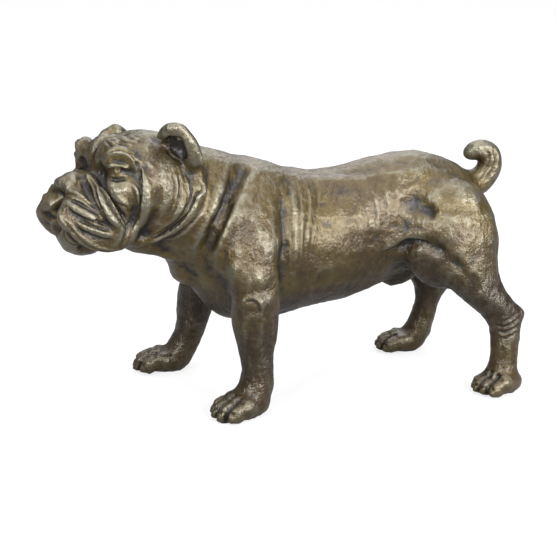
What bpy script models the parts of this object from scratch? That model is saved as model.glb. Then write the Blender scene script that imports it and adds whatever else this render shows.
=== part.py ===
"""Bulldog garden statue: one hollow-cast bronze figure that stands on its four paws.

Metres, +Z up. The dog faces -X, its left side is towards -Y, and the soles stand on Z = 0.
It is a free form, so every place and size in it is a share of the statue's own length:
the figure is laid out in units, and LAYOUT_UNITS of them make LENGTH.
"""

import math

import bmesh
import bpy
import numpy as np
from mathutils import Euler, Matrix, Vector
from mathutils.bvhtree import BVHTree

# Driving dimension, which every place and size follows: the solid is 0.98 of it long, from lips to hocks.
LENGTH = 0.67
LAYOUT_UNITS = 670.0
UNIT = LENGTH / LAYOUT_UNITS

# The surface is made of small squares, and then thinned to the triangles of the finished solid.
FORM_VOXEL = 4.5 * UNIT
DETAIL_VOXEL = 3.2 * UNIT
SOLID_TRIANGLES = 9800

BRONZE_COLOUR = (0.115, 0.075, 0.028, 1.0)
BRONZE_ROUGHNESS = 0.38

# The head is turned towards the dog's left.
HEAD_PLACE = Vector((-228, -38, 333))
HEAD_TURN = math.radians(20)


def clear_scene():
    for old in list(bpy.data.objects):
        bpy.data.objects.remove(old, do_unlink=True)


def head_matrix():
    """From the head's own units (eye level between the eyes, facing -X) to the figure's units."""
    return Matrix.Translation(HEAD_PLACE) @ Matrix.Rotation(HEAD_TURN, 4, "Z")


def add_ball(form, centre, radii, turn=(0, 0, 0), frame=Matrix.Identity(4)):
    """An ellipsoid mass. turn is in degrees about X, Y and Z."""
    spin = Euler([math.radians(angle) for angle in turn], "XYZ").to_matrix().to_4x4()
    size = Matrix.Diagonal((*radii, 1.0))
    place = Matrix.Scale(UNIT, 4) @ frame @ Matrix.Translation(centre) @ spin @ size
    bmesh.ops.create_icosphere(form, subdivisions=4, radius=1.0, matrix=place)


def add_pair(form, centre, radii, turn=(0, 0, 0), frame=Matrix.Identity(4)):
    """An ellipsoid mass on the left side, and its mirror image on the right."""
    x, y, z = centre
    across, along, about = turn
    add_ball(form, (x, y, z), radii, (across, along, about), frame)
    add_ball(form, (x, -y, z), radii, (-across, along, -about), frame)


def smooth_line(stations, steps):
    """Stations along a Catmull-Rom curve, with the given number of steps between two of them."""
    points = [np.array(station, float) for station in stations]
    points = [2 * points[0] - points[1], *points, 2 * points[-1] - points[-2]]
    line = []
    for a, b, c, d in zip(points, points[1:], points[2:], points[3:]):
        for step in range(steps):
            t = step / steps
            line.append(0.5 * (2 * b + (c - a) * t + (2 * a - 5 * b + 4 * c - d) * t * t
                               + (3 * b - a - 3 * c + d) * t ** 3))
    line.append(points[-2])
    return line


def skin_rings(form, rings):
    """Joins rings of equally many points, and closes both ends with a fan."""
    count = len(rings[0])
    made = [[form.verts.new(point) for point in ring] for ring in rings]
    for near, far in zip(made, made[1:]):
        for k in range(count):
            form.faces.new((near[k], far[k], far[(k + 1) % count], near[(k + 1) % count]))
    for ring, ahead in ((made[0], True), (made[-1], False)):
        middle = form.verts.new(sum((v.co for v in ring), Vector()) / count)
        for k in range(count):
            pair = (ring[k], ring[(k + 1) % count])
            form.faces.new((*(pair if ahead else pair[::-1]), middle))


def add_trunk(form, stations, steps=5, count=40):
    """A loft along X through upright sections: (x, top, bottom, half width, y of the middle)."""
    rings = []
    for x, top, bottom, half_width, middle in smooth_line(stations, steps):
        ring = []
        for k in range(count):
            angle = 2 * math.pi * k / count
            y = middle + half_width * math.cos(angle)
            z = (top + bottom) / 2 + (top - bottom) / 2 * math.sin(angle)
            ring.append(Vector((x, y, z)) * UNIT)
        rings.append(ring)
    skin_rings(form, rings)


def add_limb(form, stations, side=1, steps=5, count=24):
    """A loft down a leg through level sections: (x, y, z, half length, half width). side -1 mirrors it."""
    rings = []
    for x, y, z, half_length, half_width in smooth_line(stations, steps):
        ring = []
        for k in range(count):
            angle = 2 * math.pi * k / count
            along, across = half_length * math.cos(angle), half_width * math.sin(angle)
            ring.append(Vector((x + along, side * (y + across), z)) * UNIT)
        rings.append(ring)
    skin_rings(form, rings)


def add_tube(form, stations, frame=Matrix.Identity(4), steps=5, count=16):
    """A round bar that follows a curve: (x, y, z, radius)."""
    line = smooth_line(stations, steps)
    places = [Vector(point[:3]) for point in line]
    rings = []
    side = None
    for k, point in enumerate(line):
        ahead = (places[min(k + 1, len(line) - 1)] - places[max(k - 1, 0)]).normalized()
        side = ahead.orthogonal() if side is None else side - ahead * side.dot(ahead)
        side.normalize()
        up = ahead.cross(side)
        ring = []
        for j in range(count):
            angle = 2 * math.pi * j / count
            offset = side * math.cos(angle) + up * math.sin(angle)
            ring.append((frame @ (places[k] + offset * point[3])) * UNIT)
        rings.append(ring)
    skin_rings(form, rings)


def modified(mesh, *settings):
    """The mesh after the given modifiers, each a type and its settings."""
    holder = bpy.data.objects.new("holder", mesh)
    bpy.context.scene.collection.objects.link(holder)
    for kind, values in settings:
        modifier = holder.modifiers.new(kind.lower(), kind)
        for key, value in values.items():
            setattr(modifier, key, value)
    bpy.context.view_layer.update()
    made = bpy.data.meshes.new_from_object(holder.evaluated_get(bpy.context.evaluated_depsgraph_get()))
    bpy.data.objects.remove(holder, do_unlink=True)
    return made


def build_trunk(form):
    add_trunk(form, [
        (-118, 262, 170, 40, 0),
        (-98, 308, 140, 74, 0),
        (-64, 326, 108, 98, 0),
        (-25, 326, 105, 104, 0),
        (20, 311, 109, 98, 0),
        (60, 303, 116, 90, 0),
        (100, 304, 121, 82, 0),
        (140, 313, 133, 74, 0),
        (180, 321, 150, 70, 0),
        (215, 321, 166, 72, 0),
        (255, 309, 176, 70, 0),
        (281, 295, 190, 55, 0),
        (297, 273, 215, 34, 0),
    ])
    add_pair(form, (-38, -72, 215), (52, 40, 78), (0, -14, 0))
    add_pair(form, (238, -60, 215), (62, 38, 76), (0, 12, 0))
    add_pair(form, (257, -44, 238), (45, 34, 50), (0, 12, 0))
    add_tube(form, [(228, 0, 176, 14), (200, 0, 152, 16), (180, 0, 145, 14), (168, 0, 148, 9)])


def build_neck(form):
    add_trunk(form, [
        (-186, 352, 238, 58, -28),
        (-150, 354, 214, 74, -20),
        (-110, 347, 178, 84, -10),
        (-60, 334, 150, 90, 0),
        (-20, 320, 150, 80, 0),
    ])
    add_tube(form, [(-200, -44, 246, 24), (-172, -36, 234, 25), (-142, -26, 226, 24), (-112, -12, 206, 34),
                    (-96, 0, 176, 38)])
    add_ball(form, (-140, -34, 212), (26, 22, 12), (0, 22, -20))


FRONT_LEG = [
    (-42, -84, 235, 46, 30),
    (-43, -94, 190, 38, 34),
    (-42, -100, 155, 32, 31),
    (-43, -103, 120, 30, 28),
    (-42, -105, 87, 25, 24),
    (-41, -106, 60, 22, 23),
    (-46, -107, 38, 24, 25),
    (-54, -108, 20, 28, 27),
]
HIND_LEG = [
    (246, -62, 250, 56, 38),
    (249, -72, 215, 56, 38),
    (255, -80, 180, 49, 34),
    (268, -88, 150, 40, 29),
    (290, -94, 125, 34, 25),
    (307, -98, 104, 27, 22),
    (309, -101, 78, 21, 20),
    (307, -104, 48, 20, 20),
    (303, -105, 24, 23, 24),
]
FAR_FRONT_STEP = -58
FAR_HIND_STEP = -52


def stepped(leg, step):
    """The other side's leg, which is set further forward the lower down it is."""
    top = leg[0][2]
    return [(x + step * (1 - z / top), y, z, a, b) for x, y, z, a, b in leg]


# Each paw: the place of its middle, its heading in degrees from -X towards the dog's left, and its size.
PAWS = ((-47, -108, 18, 0.98), (-106, 106, -8, 0.98), (315, -106, 14, 0.9), (252, 106, -8, 0.9))


def paw_frame(x, y, heading, size):
    return (Matrix.Translation((x, y, 2)) @ Matrix.Rotation(math.radians(heading), 4, "Z")
            @ Matrix.Scale(size, 4))


def add_toes(form, frame):
    """Four toes with a claw each: the two in the middle reach further."""
    for place, lead in ((-1.5, 0.0), (-0.5, 8.0), (0.5, 8.0), (1.5, 0.0)):
        y = place * 15.0
        heading = place * 6
        add_ball(form, (-24 - lead, y, 18), (17, 8.2, 14.5), (0, -10, heading), frame)
        add_ball(form, (-40 - lead, y * 1.07, 13), (12, 8.4, 13), (0, 0, heading), frame)
        add_ball(form, (-50 - lead, y * 1.1, 7), (8, 4.2, 5.5), (0, -25, heading), frame)


def build_legs(form):
    add_limb(form, FRONT_LEG, 1)
    add_limb(form, stepped(FRONT_LEG, FAR_FRONT_STEP), -1)
    add_limb(form, HIND_LEG, 1)
    add_limb(form, stepped(HIND_LEG, FAR_HIND_STEP), -1)
    for paw in PAWS:
        add_ball(form, (-10, 0, 15), (34, 26, 19), frame=paw_frame(*paw))
    for x, y in ((-27, -112), (-84, 112)):
        add_ball(form, (x, y, 44), (9, 9, 12))
    for x, y in ((328, -98), (302, 98)):
        add_ball(form, (x, y, 106), (10, 13, 14), (0, 30, 0))


def build_tail(form):
    add_tube(form, [
        (282, 0, 266, 23),
        (303, 0, 272, 19),
        (317, 0, 285, 16),
        (322, 0, 300, 14.5),
        (317, 0, 313, 13.5),
        (305, 2, 317, 12.5),
        (295, 4, 313, 11),
        (290, 5, 306, 8.5),
    ])


def build_head(form):
    """In the head's frame -X is forward, -Y its left, and the origin is midway between the eyes."""
    head = head_matrix()
    add_ball(form, (55, 0, -8), (66, 66, 45), frame=head)
    add_pair(form, (54, -48, -38), (48, 34, 54), (0, 0, 0), head)
    add_pair(form, (4, -34, 8), (22, 26, 18), (0, 0, 10), head)
    add_ball(form, (12, 0, 8), (26, 36, 26), frame=head)
    add_pair(form, (-33, -31, -62), (48, 26, 39), (0, 4, -15), head)
    add_pair(form, (-14, -42, -78), (38, 21, 29), (0, 4, -12), head)
    add_ball(form, (-32, 0, -91), (36, 30, 25), frame=head)
    add_ball(form, (-36, 0, -22), (25, 24, 18), frame=head)
    add_ball(form, (-19, 0, -50), (36, 44, 40), frame=head)
    add_pair(form, (4, -46, -30), (22, 20, 26), (0, 0, 0), head)


EYE = (-6, -50, 0)
EYE_FACING = 55
EYEBALL = 10
COLLAR = [(98, -68, -8), (95, -80, -29), (87, -84, -48), (74, -80, -66), (58, -68, -82), (38, -56, -94),
          (14, -48, -102)]


def arc(centre, facing, radii, start, stop, count=6):
    """Stations on an ellipse round a centre, seen by someone it faces: 0 degrees is rearward, 90 is up."""
    x, y, z = centre
    rearward = (math.sin(math.radians(facing)), -math.cos(math.radians(facing)))
    stations = []
    for k in range(count):
        angle = math.radians(start + (stop - start) * k / (count - 1))
        along = radii[0] * math.cos(angle)
        stations.append((x + along * rearward[0], y + along * rearward[1], z + radii[1] * math.sin(angle)))
    return stations


def mirrored(stations):
    return [(x, -y, *rest) for x, y, *rest in stations]


def between(first, last, share):
    """The curve that lies at a share of the way from one curve to another."""
    return [tuple(a + (b - a) * share for a, b in zip(p, q)) for p, q in zip(first, last)]


def build_ears(form):
    """A folded ear is a rolled flap round a hollow. The right one is laid lower."""
    head = head_matrix()
    rim = [(58, -52, 42, 5), (64, -64, 49, 7), (75, -73, 46, 8), (84, -78, 33, 8), (90, -82, 18, 7),
           (98, -87, -1, 3.5)]
    inner_rim = [(54, -50, 34, 5), (60, -62, 40, 6), (70, -69, 36, 6), (77, -73, 24, 6), (83, -76, 12, 6),
                 (90, -79, -2, 4)]
    back = [(66, -46, 38, 12), (80, -57, 36, 13), (89, -63, 24, 15), (94, -66, 8, 15), (94, -68, -6, 12)]
    web = [(60, -50, 36, 8), (70, -57, 42, 8), (78, -64, 38, 9), (84, -68, 26, 9), (87, -72, 12, 8)]
    for tube in (rim, inner_rim, web, back):
        add_tube(form, tube, head)
    lay = (Matrix.Translation((68, -54, 17)) @ Matrix.Rotation(math.radians(58), 4, "X")
           @ Matrix.Translation((-80, 50, -24)))
    low = head @ Matrix.Scale(-1, 4, (0, 1, 0)) @ lay
    lowered = bmesh.new()
    for tube in (rim, inner_rim, web, back):
        add_tube(lowered, tube, low)
    bmesh.ops.reverse_faces(lowered, faces=lowered.faces)
    holder = bpy.data.meshes.new("lowered ear")
    lowered.to_mesh(holder)
    lowered.free()
    form.from_mesh(holder)


def build_details(form):
    for paw in PAWS:
        add_toes(form, paw_frame(*paw))
    head = head_matrix()
    for side in (1, -1):
        collar = COLLAR if side == 1 else mirrored(COLLAR)
        add_tube(form, [(*place, 10 - 0.6 * k) for k, place in enumerate(collar)], head)
        nose_wing = (-55, side * -11, -23)
        add_ball(form, nose_wing, (9, 10, 9), frame=head)
    add_ball(form, (-57, 0, -21), (8, 9, 10), frame=head)


class Skin:
    """The figure's surface while it is carved. Places are in layout units."""

    def __init__(self, mesh):
        self.mesh = mesh
        self.places = np.empty(len(mesh.vertices) * 3)
        mesh.vertices.foreach_get("co", self.places)
        self.places = self.places.reshape(-1, 3) / UNIT
        self.faces = [tuple(face.vertices) for face in mesh.polygons]
        self.settle()

    def settle(self):
        """Writes the places back, and takes the normals and the search tree anew."""
        self.mesh.vertices.foreach_set("co", (self.places * UNIT).ravel())
        self.mesh.update()
        self.normals = np.empty(len(self.places) * 3)
        self.mesh.vertex_normals.foreach_get("vector", self.normals)
        self.normals = self.normals.reshape(-1, 3)
        self.tree = BVHTree.FromPolygons([Vector(place) for place in self.places], self.faces)

    def band(self, stations, width, height, frame=Matrix.Identity(4)):
        """Raises a band along a curve, or sinks it where the height is below 0."""
        line = [Vector(point) for point in smooth_line(stations, 4)]
        hits = [self.tree.find_nearest(frame @ point) for point in line]
        curve = np.array([hit[0] for hit in hits])
        outward = np.array([hit[1] for hit in hits])
        self.sink_or_raise(curve, outward, width, height)

    def sink_or_raise(self, curve, outward, width, height):
        low, high = curve.min(0) - width, curve.max(0) + width
        near = np.nonzero(((self.places > low) & (self.places < high)).all(1))[0]
        if not len(near):
            return
        start, step = curve[:-1], curve[1:] - curve[:-1]
        length = np.linalg.norm(step, axis=1) + 1e-9
        rel = self.places[near][:, None] - start[None]
        share = np.clip((rel * step).sum(2) / length ** 2, 0, 1)
        gap = np.linalg.norm(rel - share[..., None] * step, axis=2)
        pick = gap.argmin(1)
        row = np.arange(len(near))
        distance = gap[row, pick]
        run = np.concatenate(([0], np.cumsum(length)))
        place = (run[pick] + share[row, pick] * length[pick]) / run[-1]
        facing = (self.normals[near] * outward[pick]).sum(1) > 0.1
        ends = np.clip(np.minimum(place, 1 - place) / 0.25, 0, 1)
        ends = ends * ends * (3 - 2 * ends)
        profile = np.clip(1 - (distance / width) ** 2, 0, 1) ** 2
        self.places[near] += self.normals[near] * (height * profile * (0.15 + 0.85 * ends) * facing)[:, None]

    def spot(self, centre, radius, height, frame=Matrix.Identity(4)):
        """Raises or sinks a round spot."""
        middle, outward, _, _ = self.tree.find_nearest(frame @ Vector(centre))
        distance = np.linalg.norm(self.places - np.array(middle), axis=1)
        facing = (self.normals * np.array(outward)).sum(1) > 0.1
        profile = np.clip(1 - (distance / radius) ** 2, 0, 1) ** 2
        self.places += self.normals * (height * profile * facing)[:, None]


NOSE_ROLL = [(-22, -6, 0), (-28, -20, -10), (-30, -39, -24), (-28, -51, -40), (-19, -58, -60), (-6, -60, -80)]
CHEEK_INNER = [(-10, -32, -6), (-10, -44, -16), (-8, -54, -28), (-1, -60, -42), (8, -60, -58), (8, -58, -76)]
EYE_POUCH = [(6, -60, -12), (14, -66, -22), (18, -69, -36), (17, -67, -52), (13, -62, -68)]
CHEEK_OUTER = [(27, -60, 6), (31, -70, -16), (31, -73, -40), (26, -69, -62), (18, -62, -80), (8, -54, -96)]
WHISKER_TOP = [(-60, -16, -28), (-54, -34, -30), (-46, -46, -36), (-34, -54, -46)]
WHISKER_LOW = [(-60, -46, -70), (-48, -52, -80), (-32, -56, -88), (-14, -60, -90)]
LIP_EDGE = [(-78, -8, -40), (-82, -24, -50), (-75, -40, -64), (-64, -46, -80), (-48, -48, -94),
            (-28, -52, -102), (-4, -56, -104)]


def carve_head(skin):
    head = head_matrix()
    for side in (1, -1):
        skin.spot((-8, side * -56, 0), 18, -9, head)
    skin.settle()
    for flip in (list, mirrored):
        skin.band(flip(arc(EYE, EYE_FACING, (13, 10), 190, -10)), 5, 3.5, head)
        skin.band(flip(arc(EYE, EYE_FACING, (13, 11), 190, 350)), 5, 3, head)
        skin.band(flip(arc(EYE, EYE_FACING, (19, 16), 170, -20)), 5, -4, head)
        skin.band(flip(arc(EYE, EYE_FACING, (27, 24), 165, -25)), 8, 8, head)
        skin.band(flip(arc(EYE, EYE_FACING, (41, 37), 125, -5)), 8, 5.5, head)
        skin.band(flip(arc(EYE, EYE_FACING, (34, 30.5), 140, -10)), 5.5, -5, head)
        skin.band(flip(EYE_POUCH), 7, 4, head)
        skin.band(flip([(x - 7, y, z) for x, y, z in CHEEK_OUTER]), 8, 7, head)
        skin.band(flip(between(EYE_POUCH, CHEEK_OUTER[:5], 0.5)), 6, -7, head)
        skin.band(flip([(x + 7, y - 1, z) for x, y, z in CHEEK_OUTER[1:5]]), 8, -4, head)
        skin.band(flip(between(NOSE_ROLL, CHEEK_INNER, -0.45)), 8, -6, head)
        skin.band(flip(between(NOSE_ROLL, CHEEK_INNER, 0.0)), 8, 6.5, head)
        skin.band(flip(between(NOSE_ROLL, CHEEK_INNER, 0.55)), 6, -5, head)
        skin.band(flip(between(NOSE_ROLL, CHEEK_INNER, 1.0)), 7, 4.5, head)
        for share in (0.0, 0.36, 0.72):
            skin.band(flip(between(WHISKER_TOP, WHISKER_LOW, share)), 7, 3.5, head)
            skin.band(flip(between(WHISKER_TOP, WHISKER_LOW, share + 0.18)), 6, -4, head)
        skin.band(flip([(x - 9, y, z - 4) for x, y, z in COLLAR]), 8, -5, head)
        skin.band(flip([(x - 18, y, z - 2) for x, y, z in COLLAR[:6]]), 8, 4, head)
        skin.band(flip(LIP_EDGE), 8, 5, head)
        skin.band(flip([(x + 4, y * 0.7, z - 14) for x, y, z in LIP_EDGE[1:6]]), 12, -8, head)
        skin.band(flip([(70, -20, 36), (58, -40, 28), (50, -54, 20), (50, -64, 8)]), 10, -3, head)
    skin.settle()
    skin.band([(-66, 0, -36), (-80, 0, -48), (-86, 0, -62), (-76, 0, -80)], 13, -14, head)
    skin.band([(-82, 0, -60), (-74, 0, -80), (-60, 0, -98)], 25, -11, head)
    skin.band([(-22, 0, 0), (-8, 0, 12), (10, 0, 30), (40, 0, 38)], 8, -4, head)
    for side in (1, -1):
        skin.spot((-68, side * -10, -24), 8, -6, head)
        skin.spot((-16, side * -24, -2), 12, -6, head)
        hollow = [(58, -60, 34), (68, -64, 24), (78, -68, 8)]
        lowered = [(50, 62, 10), (60, 66, 0), (68, 66, -12)]
        skin.band(hollow if side == 1 else lowered, 13, -13, head)
        for along in (6, 24):
            wrinkle = [(along, side * -4, 40), (along - 3, side * -16, 38), (along + 3, side * -30, 30)]
            skin.band(wrinkle, 6, 3, head)
    skin.settle()


RIB_FRONT = [(16, -44, 302), (12, -74, 279), (8, -92, 250), (9, -99, 218), (8, -96, 184)]
RIB_REAR = [(52, -44, 292), (48, -71, 270), (39, -87, 247), (32, -95, 222), (30, -92, 196)]
FLANK_FRONT = [(124, -44, 293), (128, -63, 270), (130, -73, 245), (126, -76, 219)]
FLANK_REAR = [(146, -48, 290), (150, -63, 269), (148, -72, 244), (142, -74, 222)]
NECK_CREASE = [(-38, -30, 326), (-57, -62, 307), (-75, -84, 286), (-89, -94, 260), (-100, -92, 233),
               (-108, -78, 206)]
NECK_FOLD = [(-88, -46, 332), (-97, -74, 310), (-108, -90, 286), (-118, -92, 262)]
SPINE_EDGE = [(26, -36, 303), (79, -36, 296), (132, -42, 296), (188, -46, 303), (245, -44, 298)]
SHOULDER_REAR = [(4, -60, 295), (1, -86, 268), (-2, -100, 235), (-6, -106, 200), (-4, -95, 165)]
FLANK_HOLLOW = [(150, -62, 190), (172, -70, 206), (190, -80, 214), (212, -98, 205), (226, -105, 182)]


def carve_body(skin):
    for flip in (list, mirrored):
        skin.band(flip(NECK_CREASE), 15, -11)
        skin.band(flip([(x + 14, y, z) for x, y, z in NECK_CREASE]), 10, 4)
        skin.band(flip([(x - 14, y, z) for x, y, z in NECK_CREASE]), 9, 4)
        for share in (0.15, 0.6, 1.05):
            skin.band(flip(between(NECK_CREASE[:4], NECK_FOLD, share * 0.8 + 0.15)), 7, -4)
        for share in (0.0, 0.33, 0.66, 1.0):
            skin.band(flip(between(RIB_FRONT, RIB_REAR, share)), 6, 3.2)
            skin.band(flip(between(RIB_FRONT, RIB_REAR, share + 0.16)), 5, -3.2)
        for share in (0.0, 0.5, 1.0):
            skin.band(flip(between(FLANK_FRONT, FLANK_REAR, share)), 6, 2.2)
        skin.band(flip(SPINE_EDGE), 14, 3)
        skin.band(flip(SHOULDER_REAR), 16, -7)
        skin.band(flip([(-84, -84, 180), (-68, -118, 170), (-41, -128, 172), (-14, -114, 186)]), 14, -3.5)
        skin.band(flip([(-80, -92, 262), (-88, -94, 236), (-90, -88, 206), (-84, -84, 184)]), 16, 6)
        skin.band(flip([(137, -73, 205), (159, -70, 213), (181, -75, 222), (203, -88, 218)]), 9, 4)
        skin.band(flip(FLANK_HOLLOW), 12, -8)
        skin.band(flip([(181, -63, 274), (195, -72, 262), (204, -85, 246)]), 18, -7)
        skin.spot(flip([(256, -70, 262)])[0], 34, 5)
        skin.spot(flip([(-30, -104, 232)])[0], 34, 5)
        skin.spot(flip([(-62, -100, 200)])[0], 14, 4)
        skin.spot(flip([(-80, -90, 195)])[0], 10, 4)
    skin.settle()


def carve_legs(skin):
    for side, front_step, hind_step in ((1, 0, 0), (-1, FAR_FRONT_STEP, FAR_HIND_STEP)):
        def placed(stations, step, top):
            return [(x + step * (1 - z / top), side * y, z) for x, y, z in stations]

        skin.band(placed(arc((-55, -126, 151), 80, (13, 15), 190, -60, 7), front_step, 235), 5, 4)
        skin.spot(placed([(-55, -126, 151)], front_step, 235)[0], 9, -3)
        for level in (52, 46):
            skin.band(placed(arc((-43, -107, level), 88, (24, 2), 180, 0), front_step, 235), 4, -2.5)
        for level in (104, 96, 88):
            fold = [(289, -108, level - 2), (300, -118, level - 5), (314, -116, level),
                    (326, -104, level + 5)]
            skin.band(placed(fold, hind_step, 250), 4, -3.5)
        knots = [(232, -108, 186), (244, -112, 172), (256, -114, 158), (268, -114, 146)]
        for k, knot in enumerate(knots):
            skin.spot(placed([knot], hind_step, 250)[0], 12, 3 if k % 2 else -2.5)
        skin.band(placed([(228, -108, 200), (246, -112, 182), (268, -112, 160)], hind_step, 250), 7, 4)
    skin.settle()


def add_eyes(mesh):
    form = bmesh.new()
    form.from_mesh(mesh)
    for side in (1, -1):
        add_ball(form, (EYE[0] + 1, side * (EYE[1] + 2), EYE[2]), (EYEBALL,) * 3, frame=head_matrix())
    return to_mesh(form)


def flat_soles(mesh, level):
    """Cuts the soles off flat at a level, and closes them."""
    solid = bmesh.new()
    solid.from_mesh(mesh)
    geometry = solid.verts[:] + solid.edges[:] + solid.faces[:]
    cut = bmesh.ops.bisect_plane(solid, geom=geometry, dist=1e-7, plane_co=(0, 0, level), plane_no=(0, 0, 1),
                                 clear_inner=True)
    rim = [item for item in cut["geom_cut"] if isinstance(item, bmesh.types.BMEdge)]
    bmesh.ops.holes_fill(solid, edges=rim, sides=0)
    bmesh.ops.triangulate(solid, faces=solid.faces)
    solid.to_mesh(mesh)
    solid.free()


def thinned(mesh):
    """The surface in the solid's number of triangles, with finer ones on the head than on the body."""
    holder = bpy.data.objects.new("holder", mesh)
    bpy.context.scene.collection.objects.link(holder)
    coarse = holder.vertex_groups.new(name="coarse")
    to_head = head_matrix().inverted()
    weights = {}
    for vertex in mesh.vertices:
        place = to_head @ (vertex.co / UNIT)
        far = min(max((place.x - 60) / 100, 0.0), 1.0)
        share = 0.5 + 0.4 * far
        if vertex.co.z < 60 * UNIT:
            share = 0.7
        if vertex.co.x > 276 * UNIT and vertex.co.z > 272 * UNIT:
            share = 0.3
        share = round(share, 1)
        weights.setdefault(share, []).append(vertex.index)
    for share, members in weights.items():
        coarse.add(members, share, "REPLACE")
    thin = holder.modifiers.new("thin", "DECIMATE")
    thin.ratio = SOLID_TRIANGLES / (2 * len(mesh.polygons))
    thin.vertex_group = "coarse"
    thin.vertex_group_factor = 1.0
    bpy.context.view_layer.update()
    made = bpy.data.meshes.new_from_object(holder.evaluated_get(bpy.context.evaluated_depsgraph_get()))
    bpy.data.objects.remove(holder, do_unlink=True)
    return made


def make_solid(mesh):
    """Thins the surface, flattens the soles and puts its box round the origin."""
    mesh = thinned(mesh)
    flat_soles(mesh, 2.0 * UNIT)
    corners = np.array([tuple(vertex.co) for vertex in mesh.vertices])
    low, high = corners.min(0), corners.max(0)
    shift = Vector(((low[0] + high[0]) / -2, (low[1] + high[1]) / -2, -low[2]))
    mesh.transform(Matrix.Translation(shift))
    return mesh, shift


def united(mesh, voxel, rounds):
    """The masses joined in one skin of small squares, and smoothed."""
    return modified(mesh, ("REMESH", {"mode": "VOXEL", "voxel_size": voxel}),
                    ("SMOOTH", {"factor": 0.5, "iterations": rounds}))


def to_mesh(form):
    mesh = bpy.data.meshes.new("form")
    form.to_mesh(mesh)
    form.free()
    return mesh


def model_figure():
    """The whole figure as a fine skin, laid out with the dog's middle near the origin."""
    form = bmesh.new()
    build_trunk(form)
    build_neck(form)
    build_legs(form)
    build_head(form)
    mesh = united(to_mesh(form), FORM_VOXEL, 8)
    form = bmesh.new()
    form.from_mesh(mesh)
    build_details(form)
    build_tail(form)
    build_ears(form)
    mesh = united(to_mesh(form), DETAIL_VOXEL, 3)
    skin = Skin(mesh)
    carve_head(skin)
    carve_body(skin)
    carve_legs(skin)
    return united(add_eyes(mesh), DETAIL_VOXEL * 0.8, 2)


def main():
    clear_scene()
    mesh, shift = make_solid(model_figure())
    collection = bpy.data.collections.new("bulldog garden statue")
    bpy.context.scene.collection.children.link(collection)
    statue = bpy.data.objects.new("bulldog", mesh)
    collection.objects.link(statue)
    mesh.shade_smooth()
    bronze = bpy.data.materials.new("patinated bronze")
    bronze.use_nodes = True
    shader = bronze.node_tree.nodes["Principled BSDF"]
    shader.inputs["Base Color"].default_value = BRONZE_COLOUR
    shader.inputs["Roughness"].default_value = BRONZE_ROUGHNESS
    shader.inputs["Metallic"].default_value = 1.0
    mesh.materials.append(bronze)
    return shift


SHIFT = main()
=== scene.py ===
"""Bulldog garden statue: the finished look of the cast bronze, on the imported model.

The dog faces -X, its left side is towards -Y, and it stands on Z = 0.
"""

import math

import bmesh
import bpy
import numpy as np
from bpy.props import FloatProperty, FloatVectorProperty, IntProperty, PointerProperty
from mathutils import Matrix, Vector, noise
from mathutils.bvhtree import BVHTree


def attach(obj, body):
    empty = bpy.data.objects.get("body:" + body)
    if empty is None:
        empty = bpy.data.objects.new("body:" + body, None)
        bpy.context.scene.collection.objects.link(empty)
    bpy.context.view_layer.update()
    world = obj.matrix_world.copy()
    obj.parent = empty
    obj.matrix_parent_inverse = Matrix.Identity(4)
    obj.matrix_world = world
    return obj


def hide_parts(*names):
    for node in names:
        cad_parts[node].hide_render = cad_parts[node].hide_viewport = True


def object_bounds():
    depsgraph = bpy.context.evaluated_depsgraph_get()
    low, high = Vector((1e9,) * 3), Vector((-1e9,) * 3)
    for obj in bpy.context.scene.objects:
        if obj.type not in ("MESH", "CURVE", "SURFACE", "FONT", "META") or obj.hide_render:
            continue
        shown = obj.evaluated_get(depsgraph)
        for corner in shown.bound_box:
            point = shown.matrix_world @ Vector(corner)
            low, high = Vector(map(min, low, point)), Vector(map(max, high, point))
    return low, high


bl_info = {
    "name": "Bulldog garden statue",
    "version": (1, 0, 0),
    "blender": (4, 5, 0),
    "location": "View3D > Sidebar > Bulldog statue",
    "description": "Works the folds, the coat and the patina of a cast bronze bulldog, and sets its studio",
    "category": "Object",
}

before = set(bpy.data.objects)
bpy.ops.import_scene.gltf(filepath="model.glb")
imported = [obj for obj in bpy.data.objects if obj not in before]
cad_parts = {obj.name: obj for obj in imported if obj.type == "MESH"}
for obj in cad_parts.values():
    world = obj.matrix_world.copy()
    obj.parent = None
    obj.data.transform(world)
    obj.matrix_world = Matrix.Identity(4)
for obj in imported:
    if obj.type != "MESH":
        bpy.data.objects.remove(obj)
CAST_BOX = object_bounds()

# The folds are laid out in millimetres, in the modeller's frame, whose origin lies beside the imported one.
MM = 0.001
LAYOUT_SHIFT = Vector((-11.44, 3.97, -2.0))

# The head's own frame: -X is forward, -Y its left, and the origin is midway between the eyes.
HEAD_PLACE = Vector((-228, -38, 333))
HEAD_TURN = math.radians(20)
EYE = (-6, -50, 0)
EYE_FACING = 55

FIGURE = Matrix.Translation(LAYOUT_SHIFT)
HEAD = FIGURE @ Matrix.Translation(HEAD_PLACE) @ Matrix.Rotation(HEAD_TURN, 4, "Z")

# The folds round the far brow are cut half as deep, and the far legs stand further forward.
FAR_BROW_DEPTH = 0.5
FAR_FRONT_STEP = -58
FAR_HIND_STEP = -52

# Heights at which the front and the hind legs swing, and how far apart the toes lie.
FRONT_PIVOT = 235
HIND_PIVOT = 250
TOE_SPACING = 15

# The face, up to this far behind the eyes, and the paws, below this height, are smoothed less than the body.
FACE_END = 50
FACE_BLEND = 60
PAW_TOP = 45
PAW_BLEND = 30

# What lies below this height is set flat on the ground.
SOLE_HEIGHT = 1.2

# Shelter is the share of these rays, spread over the half sphere, that meet the cast within their reach.
SHELTER_RAYS = 14
SHELTER_REACH = 110
GOLDEN_ANGLE = 2.39996

# Patterns of the patina, in cells per metre: clouds of 77 mm and stains of 16 mm.
CLOUD_SCALE = 13.0
STAIN_SCALE = 62.0

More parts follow.
